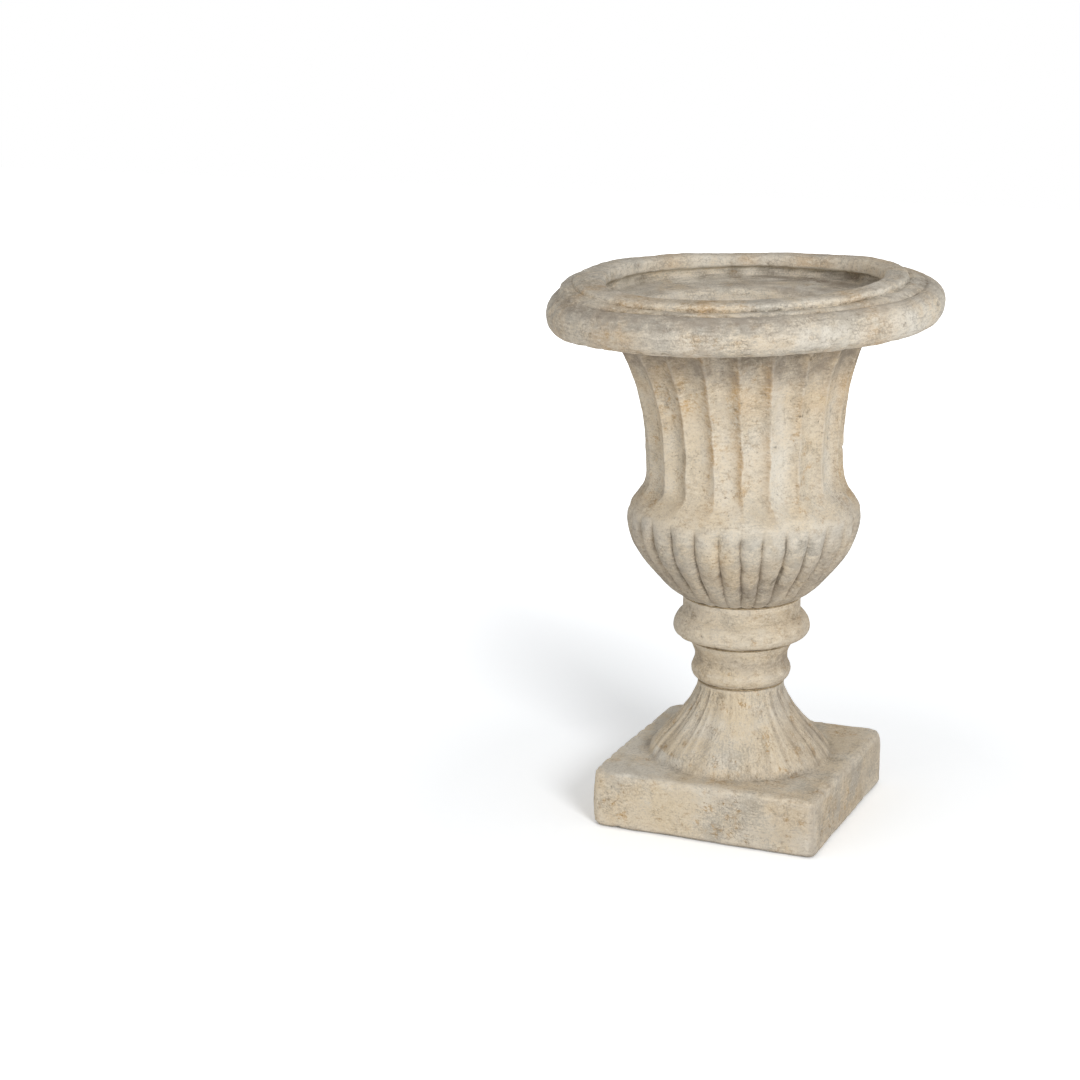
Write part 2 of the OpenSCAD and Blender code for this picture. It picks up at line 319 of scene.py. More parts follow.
# A screen colour's channels as Blender's linear ones
def colour(hexCode):
    channels = [int(hexCode[i:i + 2], 16) / 255 for i in (1, 3, 5)]
    linear = [c / 12.92 if c <= 0.04045 else ((c + 0.055) / 1.055) ** 2.4 for c in channels]
    return (*linear, 1.0)


# The scale that gives a texture a size in mm
def perSize(size):
    return 1 / (size * mm)


# Adds one node: settings are its properties, links and values go to its inputs
def put(tree, kind, inputs=None, **settings):
    node = tree.nodes.new(kind)
    for key, value in settings.items():
        if key == "stops":
            for element, (place, shade) in zip(node.color_ramp.elements, value):
                element.position = place
                element.color = shade
        else:
            setattr(node, key, value)
    for key, value in (inputs or {}).items():
        if isinstance(value, bpy.types.NodeSocket):
            tree.links.new(value, node.inputs[key])
        else:
            node.inputs[key].default_value = value
    return node


def newMaterial(name):
    material = bpy.data.materials.new(name)
    material.use_nodes = True
    tree = material.node_tree
    tree.nodes.clear()
    shader = put(tree, "ShaderNodeBsdfPrincipled")
    output = put(tree, "ShaderNodeOutputMaterial")
    tree.links.new(shader.outputs["BSDF"], output.inputs["Surface"])
    return material, tree, shader


# Cast stone: cement and crushed limestone, tamped into a mould, then etched, washed with
# pigment and brushed. It is matt, sandy and crazed, with chalky patches, ochre dabs, grey
# washes, brush marks and dark silt in the hollows.
# The silt, grime and chalk colours also lay painted shadow, shade and highlight on some pieces
castStone = {
    "cream": "#d9c8ab",
    "pale": "#ddd1bd",
    "warm": "#d8be96",
    "chalk": "#e2dccf",
    "ochre": "#c7a26c",
    "greyWash": "#aba79c",
    "siltAndShadow": "#6e6455",
    "grimeAndShade": "#94887a",
    "fleck": "#eee7da",
    "grainSize": 2.0,
    "strokeSize": 2.8,
    "pitSize": 3.2,
    "crackleSize": 4.6,
    "jitter": 0.30,         # how far the sand and the brush break up the edge of a patch
    # patches: their size, and the levels of the noise over which they come in
    "clouds": (130, 0.36, 0.66),
    "warmClouds": (91, 0.48, 0.66),
    "chalkWashes": (56, 0.50, 0.64),
    "greyWashes": (70, 0.50, 0.62),
    "dabs": (12, 0.54, 0.70),
    "dabGroups": (46, 0.46, 0.62),
    "limedAndHighlitPatches": (26, 0.34, 0.58),
    "rustPatches": (26, 0.34, 0.62),
    "ashPatches": (15, 0.36, 0.60),
    "crackGroups": (24, 0.46, 0.60),
    "pitGroups": (38, 0.50, 0.60),
    "siltAndShadowPatches": (24, 0.38, 0.60),
    "grimeAndShadePatches": (20, 0.24, 0.60),
    "dustAndShadePatches": (50, 0.20, 0.60),
    # levels over which the rest comes in
    "darkStrokes": (0.52, 0.76),
    "paleStrokes": (0.48, 0.24),
    "darkSand": (0.52, 0.74),
    "paleSand": (0.47, 0.25),
    "crackEdge": (0.13, 0.0),
    "pitHeart": (0.69, 0.75),
    "hollowDepth": (0.15, 0.9),
    "wornHeight": (0.25, 1.2),
    "facingSky": (0.5, 0.95),
    "warmStrength": 0.55,
    "grimeAndShadeStrength": 0.82,
    "wornStrength": 0.2,
    # strength and depth of what stands in the surface, and whether it is sunk
    "relief": {"sand": (0.6, 1.5, False), "strokes": (0.55, 1.3, False),
               "cracks": (0.6, 0.8, True), "pits": (0.9, 1.4, True)},
    "roughness": 0.93,
    "specular": 0.2,
}


# The arguments are how strongly each part of the finish shows
def makeStone(name, chalk, wash, stain, streak, grain, crackle, siltAndShadow, dustAndTopShade):
    look = castStone
    material, tree, shader = newMaterial(name)
    place = put(tree, "ShaderNodeTexCoord").outputs["Object"]

    def attribute(label, output="Fac"):
        return put(tree, "ShaderNodeAttribute", attribute_name=label).outputs[output]

    def field(size, detail, rough=0.6, source=place):
        return put(tree, "ShaderNodeTexNoise", {
            "Vector": source, "Scale": perSize(size), "Detail": detail,
            "Roughness": rough}).outputs["Fac"]

    def window(value, low, high):
        return put(tree, "ShaderNodeMapRange", {
            "Value": value, "From Min": low, "From Max": high}, clamp=True).outputs["Result"]

    def times(first, second):
        return put(tree, "ShaderNodeMath", {0: first, 1: second}, operation="MULTIPLY").outputs[0]

    def plus(first, second):
        return put(tree, "ShaderNodeMath", {0: first, 1: second}, operation="ADD").outputs[0]

    # lays a named colour over what is there, by a mask
    def cover(shade, mask, named):
        return put(tree, "ShaderNodeMix", {"Factor": mask, 6: shade, 7: colour(look[named])},
                   data_type="RGBA").outputs[2]

    strokes = field(look["strokeSize"], detail=3, source=attribute("lay", "Vector"))
    sand = field(look["grainSize"], detail=3, rough=0.7)
    jitter = plus(*(times(plus(source, -0.5), look["jitter"]) for source in (sand, strokes)))

    # patches with edges broken up by the sand and the brush
    def patches(named):
        size, low, high = look[named]
        return window(plus(field(size, detail=6), jitter), low, high)

    # broad washes and small dabs
    shade = cover(colour(look["cream"]), patches("clouds"), "pale")
    shade = cover(shade, times(patches("warmClouds"), look["warmStrength"]), "warm")
    shade = cover(shade, times(patches("chalkWashes"), chalk), "chalk")
    shade = cover(shade, times(patches("greyWashes"), wash), "greyWash")
    dabs = times(patches("dabs"), patches("dabGroups"))
    shade = cover(shade, times(dabs, stain), "ochre")
    # chalk, and on the bowl's lobe heads a painted highlight
    shade = cover(shade, times(attribute("limedAndHighlit"), patches("limedAndHighlitPatches")), "chalk")
    shade = cover(shade, times(attribute("rust"), patches("rustPatches")), "ochre")
    shade = cover(shade, times(attribute("ash"), patches("ashPatches")), "greyWash")

    # brush marks, sand, crazing and pits
    for source, dark, light, strength in ((strokes, "darkStrokes", "paleStrokes", streak),
                                          (sand, "darkSand", "paleSand", grain)):
        shade = cover(shade, times(window(source, *look[dark]), strength), "grimeAndShade")
        shade = cover(shade, times(window(source, *look[light]), strength), "fleck")
    cells = put(tree, "ShaderNodeTexVoronoi", {"Vector": place, "Scale": perSize(look["crackleSize"])},
                feature="DISTANCE_TO_EDGE").outputs["Distance"]
    cracks = times(window(cells, *look["crackEdge"]), patches("crackGroups"))
    shade = cover(shade, times(cracks, crackle), "siltAndShadow")
    hearts = window(field(look["pitSize"], detail=2, rough=0.5), *look["pitHeart"])
    pits = times(hearts, patches("pitGroups"))
    shade = cover(shade, times(pits, grain), "siltAndShadow")

    # silt in the hollows, grime where rain and hands leave it, both also laid as painted shadow and
    # shade, worn pale edges
    # the hollow mask also holds painted shadow under the bowl's rim and inside the rim's back right
    hollow = times(window(attribute("hollow"), *look["hollowDepth"]), patches("siltAndShadowPatches"))
    shade = cover(shade, times(hollow, siltAndShadow), "siltAndShadow")
    grimeAndShadeMask = times(attribute("grimeAndShade"), patches("grimeAndShadePatches"))
    shade = cover(shade, times(grimeAndShadeMask, look["grimeAndShadeStrength"]), "grimeAndShade")
    worn = window(attribute("worn"), *look["wornHeight"])
    shade = cover(shade, times(worn, look["wornStrength"]), "fleck")

    # dust on what faces the sky, with painted shade that darkens the tops
    upward = put(tree, "ShaderNodeSeparateXYZ", {
        "Vector": put(tree, "ShaderNodeNewGeometry").outputs["Normal"]}).outputs["Z"]
    upwardDustAndShade = times(window(upward, *look["facingSky"]), patches("dustAndShadePatches"))
    shade = cover(shade, times(upwardDustAndShade, dustAndTopShade), "grimeAndShade")
    tree.links.new(shade, shader.inputs["Base Color"])
    shader.inputs["Roughness"].default_value = look["roughness"]
    shader.inputs["Specular IOR Level"].default_value = look["specular"]

    surface = None
    for named, height in (("sand", sand), ("strokes", strokes), ("cracks", cracks), ("pits", pits)):
        strength, depth, sunk = look["relief"][named]
        inputs = {"Height": height, "Strength": strength, "Distance": depth * mm}
        if surface:
            inputs["Normal"] = surface
        surface = put(tree, "ShaderNodeBump", inputs, invert=sunk).outputs["Normal"]
    tree.links.new(surface, shader.inputs["Normal"])
    return material


rimStone = makeStone("castStoneRim", chalk=0.65, wash=0.75, stain=0.9, streak=0.62, grain=0.5,
                     crackle=0.32, siltAndShadow=0.6, dustAndTopShade=0.35)
bowlStone = makeStone("castStoneBowl", chalk=0.5, wash=0.3, stain=0.75, streak=0.32, grain=0.38,
                      crackle=0.08, siltAndShadow=0.72, dustAndTopShade=0.0)
stemStone = makeStone("castStoneStem", chalk=0.3, wash=0.15, stain=0.7, streak=0.38, grain=0.42,
                      crackle=0.2, siltAndShadow=0.35, dustAndTopShade=0.0)
footStone = makeStone("castStoneFoot", chalk=0.6, wash=0.5, stain=0.85, streak=0.36, grain=0.42,
                      crackle=0.15, siltAndShadow=0.3, dustAndTopShade=0.12)


# A finish in two shades that a texture mixes: each stop is (level, shade). Also gives the
# tree, the shader and the texture's level.
def makeMottled(name, size, detail, stops, roughness, metallic=0.0, kind="ShaderNodeTexNoise",
                output="Fac"):
    material, tree, shader = newMaterial(name)
    place = put(tree, "ShaderNodeTexCoord").outputs["Object"]
    level = put(tree, kind, {"Vector": place, "Scale": perSize(size), "Detail": detail}).outputs[output]
    ramp = put(tree, "ShaderNodeValToRGB", {"Fac": level},
               stops=[(at, colour(shade)) for at, shade in stops])
    tree.links.new(ramp.outputs["Color"], shader.inputs["Base Color"])
    shader.inputs["Metallic"].default_value = metallic
    shader.inputs["Roughness"].default_value = roughness
    return material, tree, shader, level


# Raked mortar: sandy and damp, and darker than the castings
def makeMortar():
    material, tree, shader, sand = makeMottled(
        "rakedMortar", size=3, detail=4, stops=[(0.35, "#85745b"), (0.7, "#b3a080")], roughness=0.95)
    bump = put(tree, "ShaderNodeBump", {"Height": sand, "Strength": 0.6, "Distance": 1.0 * mm})
    tree.links.new(bump.outputs["Normal"], shader.inputs["Normal"])
    return material


# Hot dip galvanised steel: dull grey with soft zinc flowers, each with its own sheen
def makeGalvanised():
    material, tree, shader, flowers = makeMottled(
        "galvanisedSteel", size=7, detail=0, stops=[(0.0, "#9aa0a3"), (0.8, "#6f7577")], roughness=0.5,
        metallic=0.9, kind="ShaderNodeTexVoronoi", output="Distance")
    dull = put(tree, "ShaderNodeMapRange", {"Value": flowers, "To Min": 0.35, "To Max": 0.6})
    tree.links.new(dull.outputs["Result"], shader.inputs["Roughness"])
    return material


# Machined brass gone brown in the damp
def makeBrass():
    return makeMottled("dulledBrass", size=9, detail=5, stops=[(0.4, "#b08a4a"), (0.65, "#6b5330")],
                       roughness=0.42, metallic=0.95)[0]


# Moulded rubber: near black, matt, with a faint bloom
def makeRubber():
    return makeMottled("mouldedRubber", size=6, detail=4, stops=[(0.4, "#1b1b1a"), (0.7, "#33322f")],
                       roughness=0.8)[0]


# Moulded polypropylene for the screen: dark green, dusted with silt
def makeScreenPlastic():
    return makeMottled("mouldedPolypropylene", size=14, detail=5,
                       stops=[(0.42, "#2b2f29"), (0.68, "#6a6252")], roughness=0.6)[0]


mortar = makeMortar()
galvanised = makeGalvanised()
brass = makeBrass()
rubber = makeRubber()
screenPlastic = makeScreenPlastic()
print("materials made")


bowl = {
    "node": "bowl_casting",
    "segments": 600,        # a multiple of both flutes and lobes, so that edges follow the mesh
    "seed": 11,
    "drift": (70, 3.0),     # size and seed of the slow wander that all ribs share
    "driftTurn": 0.7,       # degrees that it turns a rib
    "sway": (22, 9.0),      # the same for a quicker wander
    "swayTurn": 0.45,
    "flutes": 20,
    "fluteDepth": 7.4,
    "fluteRange": (0.88, 1.0),      # each flute has its own share of the depth
    "fluteSwing": (0.95, 0.05),     # level and swing of the depth along it
    "fluteLow": 108,        # height where the flutes die out on the shoulder
    "fluteDrift": 4,        # how far that height wanders
    "fluteRun": 38,
    "shadedWallWidth": 0.5,       # width of the wall turned from the lamp, darkened with painted shade, as a share across a flute
    "arrisCut": 0.06,       # share of the depth that takes the edge off an arris
    "arrisFrom": 0.9,
    "arrisLow": 140,        # the arrises are chipped above this height
    "arrisShift": [0, 1.5, -1, 2, -2, 0, 0, 1, 3.1, 2.4, 2.1, 0.6, -1.8, -2.2, -2.6, -1, 1.5, -2, 1, -1],
    "lobes": 30,
    "lobeTurn": 5.4,
    "lobeDepth": 8.2,
    "lobeRange": (0.78, 1.0),
    "lobeRound": 0.90,      # sine of the angle that the lobes' sides reach
    "lobeTop": 114,
    "lobeDrift": 2,
    "lobeFoot": (0.15, 0.85, 34),   # share of the depth at the foot, the rest, and where it is full
    "neckRun": 18,          # height over which the columns go from valleys to arrises
    "headRise": [0, -4, 1, -2, -6, 1, -3, 0, -5, 1, -3, 2, -5, 0, -4, 2, -6, -1, 1, -5, 0, -3, 2, -4,
                 1, -6, 0, -2, 1, -3],
    "headRun": 27,          # height over which the valleys die out upwards
    "headPatches": (30, 45.0, 0.88, 0.25),
    "headDip": (-7, 5, 0.42),       # height from the top, width, and share of the depth
    "valleyShift": [1, -1.5, 1, 0, -1, 1.5, -1, 1, -0.5, 1, -1, 0.5, -1.3, -0.3, 0.7, 1.7, 1, -0.3,
                    -0.3, -0.3, -1.3, 0.5, -1, 1, 0, 1, -1.5, 0.5, 1, -0.5],
    "seatStroke": 1,        # the outline's stroke that the rim stands on: the well comes after it
    "strokeReach": 0.4,
    "insideReach": 0.12,
    "lumps": [(34, 1.4), (9, 0.9)],
    # colour: degrees, width in degrees and strength
    "rustSpots": [(-20, 16, 0.7), (-3, 8, 0.6), (14, 7, 0.5)],
    "chalkSpots": [(21, 8, 0.9), (58, 14, 0.7), (4, 4, 0.3), (-12, 4, 0.4)],
    # patches: size, seed, level and swing
    "rustPatches": (30, 41.0, 0.6, 0.6),
    "dirtPatches": (60, 14.0, 0.55, 0.45),
    "ashPatches": (36, 17.0, 0.5, 0.5),
    # fades: height where each starts, run, and strength if it isn't 1
    # painted shadow of the rim's overhang on the neck, with some grime
    "underRimShadowAndDirt": (246, 46, 1.3),
    "lowDirt": (106, -22),
    "lowestDirt": (84, -60, 0.65),
    "leastLowDirt": 0.2,
    "sideShade": (25, 40, 0.4),      # degrees to either side: painted shade on the sides turned from the lamp
    "sideTop": (150, -30),
    # painted shade on the flute wall turned from the lamp
    "wallShade": 0.25,
    # painted shade and grime in the lobe valleys
    "valleyShadeAndDirt": 0.35,
    "valleyTop": 104,
    "insideDirt": 0.15,
    "wallRust": 0.8,
    "leastRust": 0.35,
    "highRust": (190, 60, 0.35),
    "ash": (108, -18, 0.75),
    "headChalkAndHighlight": (-20, 13, 0.7),    # height from the top, width and strength of chalk and painted highlight on the lobe heads
    "leastChalk": 0.5,
    "footSilt": (56, -30, 0.5),
    "siltTop": (92, -40),
    "siltSpot": (12, 24, 0.7),      # degrees, width and strength
    "siltSpotTop": (70, -30),
    # painted shadow under the rim, laid as silt
    "underRimShadowAndSilt": (278, 24, 0.7),
    # where the hollows of the shape itself stay clean
    "cleanThroat": (106, 8, 168, 15, 0.9),
    "cleanHeads": (40, 44, 0.75),
    "cleanTop": 120,
    "outline": [
        (2.8, [(68.4, 0.2), (71.4, 1.6), (78.6, 6), (88.0, 13.5), (100.6, 27.5), (112.3, 41.5),
               (122.4, 56.5), (129.2, 71.5), (132.4, 84.5), (132.8, 93.5), (131.8, 103), (129.6, 107.5),
               (122.5, 118.5), (116.2, 127.8), (113.4, 136), (112.2, 146.5), (111.8, 166.5),
               (113.0, 192.5), (116.4, 219.5), (121.8, 245.5), (129.4, 268.5), (137.8, 288.5),
               (146.6, 307.5)]),
        (6.0, [(146.6, 307.5), (121.2, 307.5)]),
        (20.0, [(121.2, 307.5), (106, 275), (95, 240), (87.7, 200), (85.8, 166.5), (87, 140), (94, 118),
               (103, 102), (106.7, 88.5), (104.9, 77), (99.5, 66), (74.7, 35), (56, 22)]),
        *straights([14, 9, 7, 5, 14],
                   [(56, 22), (15, 22), (15, 6), (28.5, 6), (28.5, 0.2), (68.4, 0.2)]),
    ],
}


# Degrees that a column moves so that evenly spaced ribs land where they were cut by hand
def handCut(angle, first, shifts):
    spacing = 360 / len(shifts)
    stops = first + spacing * np.arange(len(shifts) + 1)
    return np.interp((angle - first) % 360 + first, stops, shifts + shifts[:1])


# The nearest edge between ribs, and the place across the rib from -1 to 1
def ribPlace(angle, first, count):
    share = (angle - first) * count / 360
    return np.round(share).astype(int) % count, 2 * (share - np.floor(share)) - 1


def makeBowl():
    seat = seatOf(bowl["node"])
    piece, along, stroke = turn("bowlShell", bowl, seat)
    points = pointsOf(piece)
    radius, height, angle = turnedPlace(points, seat)
    outside = stroke == 0
    facing = angle - lean["viewTurn"]
    drift = wander(points, *bowl["drift"])
    dice = np.random.default_rng(bowl["seed"])
    firstFlute = -180
    firstLobe = firstFlute + bowl["lobeTurn"]

    # move the columns first, so that arrises and valleys wander with the mesh
    neckShare = fade(height, bowl["lobeTop"], bowl["neckRun"])
    shift = neckShare * handCut(angle, firstFlute, bowl["arrisShift"])
    shift += (1 - neckShare) * handCut(angle, firstLobe, bowl["valleyShift"])
    shift += bowl["driftTurn"] * drift + bowl["swayTurn"] * wander(points, *bowl["sway"])
    moved = np.radians(angle + shift * outside)
    points[:, 0] = np.sin(moved) * radius * mm
    points[:, 1] = -np.cos(moved) * radius * mm
    movePoints(piece, points)

    # concave flutes between crisp arrises, that die out on the shoulder
    edgeOf, across = ribPlace(angle, firstFlute, bowl["flutes"])
    run = fade(height - bowl["fluteLow"], bowl["fluteDrift"] * drift, bowl["fluteRun"])
    depth = dice.uniform(*bowl["fluteRange"], bowl["flutes"])[edgeOf]
    level, swing = bowl["fluteSwing"]
    scoop = np.maximum(1 - across ** 2, bowl["arrisCut"]) * depth * (level + swing * drift)
    carve(piece, scoop * run * outside, bowl["fluteDepth"])
    arris = outside & (np.abs(across) > bowl["arrisFrom"]) & (height > bowl["arrisLow"])
    # the wall of each flute turned from the lamp, which gets painted shade
    shadedWall = run * swell(across, 1, bowl["shadedWallWidth"])

    # round lobes that fade into the shoulder, between narrow valleys: a few have clear heads
    edgeOf, across = ribPlace(angle, firstLobe, bowl["lobes"])
    lobeCentre = firstLobe + 180 / bowl["lobes"]
    top = bowl["lobeTop"] + bowl["lobeDrift"] * drift + handCut(angle, lobeCentre, bowl["headRise"])
    valley = 1 - np.sqrt(1 - (across * bowl["lobeRound"]) ** 2)
    valley /= 1 - math.sqrt(1 - bowl["lobeRound"] ** 2)
    rise = fade(height, top, -bowl["headRun"])
    rise *= patchy(points, *bowl["headPatches"]).clip(0, 1)
    clear = handCut(angle, lobeCentre, list(dice.uniform(0, 1, bowl["lobes"]) ** 2))
    dip = clear * swell(height - top, *bowl["headDip"])
    valley = np.clip(valley * rise + dip * (1 - valley * rise), 0, 1)
    atFoot, rest, fullHeight = bowl["lobeFoot"]
    depth = dice.uniform(*bowl["lobeRange"], bowl["lobes"])[edgeOf]
    depth = depth * (atFoot + rest * fade(height, 0, fullHeight))
    carve(piece, valley * depth * outside, bowl["lobeDepth"])

    outsideLay = turnedLay(radius, angle, along, "round", bowl["strokeReach"])
    insideLay = turnedLay(radius, angle, along, "round", bowl["insideReach"])
    layStrokes(piece, np.where(outside[:, None], outsideLay, insideLay))
    roughen(piece, bowl["lumps"])
    chip(piece, dice, outside, count=60, sizes=(2.5, 6), depth=0.45)
    chip(piece, dice, arris, count=60, sizes=(2.5, 6), depth=1.0)

    # painted shadow and grime under the rim, grime low on the bowl, painted shade down the wall of each
    # flute turned from the lamp and on the sides, painted shade and grime in the valleys
    patch = patchy(points, *bowl["dirtPatches"])
    low = bowl["leastLowDirt"] + fade(height, *bowl["lowestDirt"]) * patch
    dirtAndShade = fade(height, *bowl["underRimShadowAndDirt"]) + fade(height, *bowl["lowDirt"]) * low
    dirtAndShade += bowl["wallShade"] * shadedWall + bowl["valleyShadeAndDirt"] * valley * (height < bowl["valleyTop"])
    dirtAndShade += fade(np.abs(facing), *bowl["sideShade"]) * fade(height, *bowl["sideTop"])
    paint(piece, "grimeAndShade", outside * dirtAndShade + bowl["insideDirt"] * (stroke > bowl["seatStroke"]))

    # ochre, chalk with a painted highlight on the lobe heads, and ash
    rust = bowl["wallRust"] * shadedWall * (bowl["leastRust"] + dabsRound(facing, bowl["rustSpots"]))
    rust += fade(height, *bowl["highRust"]) * patchy(points, *bowl["rustPatches"])
    paint(piece, "rust", outside * rust)
    limedAndHighlit = swell(height - top, *bowl["headChalkAndHighlight"]) * (1 - valley) * (bowl["leastChalk"] + patch)
    limedAndHighlit += run * dabsRound(facing, bowl["chalkSpots"])
    paint(piece, "limedAndHighlit", outside * limedAndHighlit)
    ashy = fade(height, *bowl["ash"]) * patchy(points, *bowl["ashPatches"])
    paint(piece, "ash", outside * ashy)
    leanOver(piece)

    # silt in the valleys and round the foot, and painted shadow laid as silt under the rim
    siltAndRimShadow = (valley ** 3 + fade(height, *bowl["footSilt"])) * fade(height, *bowl["siltTop"])
    siltAndRimShadow += swell(facing, *bowl["siltSpot"]) * fade(height, *bowl["siltSpotTop"])
    siltAndRimShadow = siltAndRimShadow * patch + fade(height, *bowl["underRimShadowAndSilt"])
    heads = fade(height, *bowl["cleanHeads"]) * (height < bowl["cleanTop"])
    keep = (1 - between(height, *bowl["cleanThroat"])) * (1 - heads)
    markWear(piece, rounds=5, reach=0.6, keep=keep, more=outside * siltAndRimShadow)
    finishPiece(piece, bowlStone, bowl["node"])


makeBowl()


rim = {
    "node": "rim_casting",
    "segments": 600,
    "outline": [
        (3.0, [(147, 0.2), (172, 0.6), (199, 2.0)]),
        (1.9, [(199, 2.0), (207, 3.2), (214, 7.2), (219, 14), (221, 23), (220, 31), (216.5, 38),
               (210.5, 43), (204.5, 44.6), (199.6, 42.2)]),
        (1.2, [(199.6, 42.2), (199.0, 44.6), (197, 46.6), (193, 47.4), (188.8, 47.2)]),
        (1.0, [(188.8, 47.2), (187.2, 46.4), (186.4, 47.6)]),
        (1.8, [(186.4, 47.6), (187.2, 50.5), (185.6, 53.8), (181, 55.6), (172, 56.3), (164, 56.2),
               (159.2, 54.8), (156.6, 51.6), (155.9, 47.6), (156.3, 44.2)]),
        (2.0, [(156.3, 44.2), (160, 42.6), (165.5, 41.5), (168.0, 38)]),
        (3.0, [(168.0, 38), (165, 31.5), (152, 27.5), (136, 24.5), (126, 22), (122.5, 17)]),
        *straights([4, 5], [(122.5, 17), (121.8, 0.2), (147, 0.2)]),
    ],
    "rollStroke": 1,        # the outline's stroke that is the roll
    "edgeStroke": 4,        # and the one that ends at the mouth's edge
    # how far each band strays, every 30 degrees to the viewer's right from the front
    "rollOut": [-0.7, -2.5, 1.3, 3.4, 3.1, 0.5, 1.0, 0.2, -3.9, -4.0, 1.7, 3.2],
    "rollUp": [-0.8, -0.5, -0.3, 1.5, 2.3, -0.5, -1.6, 0.3, -1.3, -1.8, -2.9, 0.3],
    "lipOut": [-0.7, -3.0, -3.8, -3.0, -2.4, 0.0, 1.0, 0.2, 0.6, 0.5, 3.2, 3.2],
    "lipUp": [-0.8, -0.5, 1.2, 3.5, 3.3, 0.0, -1.0, 2.8, 5.0, 3.8, 0.7, -0.7],
    "mouthOut": [-0.7, -3.0, -0.8, 1.4, 0.6, 0.0, 1.0, 0.2, -3.4, -5.0, 1.2, 3.2],
    "mouthUp": [-0.8, -0.5, 0.7, 1.5, 0.5, -1.5, -1.6, -0.3, 0.5, 3.8, 0.5, -0.7],
    # how far the step is worn to a slope, at the same places, and the slope's radius and height
    "wornStep": [0, 0, 0.15, 0.55, 0.5, 0.2, 0.3, 0.6, 0.9, 1.0, 0.98, 0.25],
    "stepFoot": (209, 43.8),
    "stepHead": (187.2, 50.8),
    "slopeSwell": 0.8,
    # the bands as fades over height or radius: start and run
    "rollFoot": (0, 8),
    "rollRadius": (150, 30),
    "lipHeight": (44, 4),
    "mouthRadius": (172, -10),
    "mouthHeight": (34, 8),
    "crownHeight": (46, 6),
    "edgeRadius": (172, -8),
    "edgeHeight": (36, 4, 53, 6),   # from a height and its run to another
    "edgeWander": [(0.7, 22, 4.0), (1.0, 60, 8.0)],     # height, size and seed
    "strokeReach": 0.35,
    "insideReach": 0.1,
    "lumps": [(45, 1.8), (11, 1.0)],
    # chips: radius and height of their place, its reach, then count, sizes and depth
    "seed": 5,
    "chips": [(198.5, 44, 2.5, 34, (2.5, 6), 1.1), (187, 51, 2.5, 30, (2.5, 5), 0.9),
              (212, 5, 2.5, 36, (3, 8), 1.3), (156.3, 44.5, 2.5, 30, (2.5, 5), 1.0),
              (219, 28, 14, 60, (2, 5), 0.8)],
    # colour: degrees, width in degrees and strength
    "ochreSpots": [(-66, 8, 0.9), (-38, 9, 0.9), (-12, 4, 0.8), (41, 6, 0.8), (-150, 7, 0.7),
                   (178, 5, 0.7), (147, 16, 0.7)],
    "chalkSpots": [(-22, 11, 0.6), (32, 24, 0.7)],
    "ashSpots": [(-18, 38, 1.0)],
    "greySpots": [(-84, 30, 0.7)],
    "paleSpots": [(50, 34, 0.8), (180, 50, 0.9), (-94, 30, 0.9), (-48, 14, 0.5)],
    # painted shadow inside the mouth, at the back right under the lip
    "insideShadowSpots": [(146, 26, 1.4)],
    "dullSpots": [(-18, 50, 0.35)],
    "softGroove": [(-75, 32, 0.6)],
    # where the colour goes, and how strongly
    "shelfRadius": (196, 4),
    "shelfHeight": (34, 8),
    "lowerRoll": (8, 6, 36, 6),
    "upperRoll": (26, 6, 46, 3),
    "underLip": 24,
    "shelfDirt": 0.45,
    "ashDirt": 0.45,
    "brushDirtAndShadow": 0.9,
    "brushSiltAndShadow": 0.6,
    "leastBrush": 0.1,
    # patches in the brush marks inside: size, seed, level and swing
    "darkBrush": (9, 30.0, 0.3, 1.4),
    "paleBrush": (16, 31.0, 0.9, 0.9),
    "keepHollows": 0.8,
    "keepUnderLip": 0.1,
}


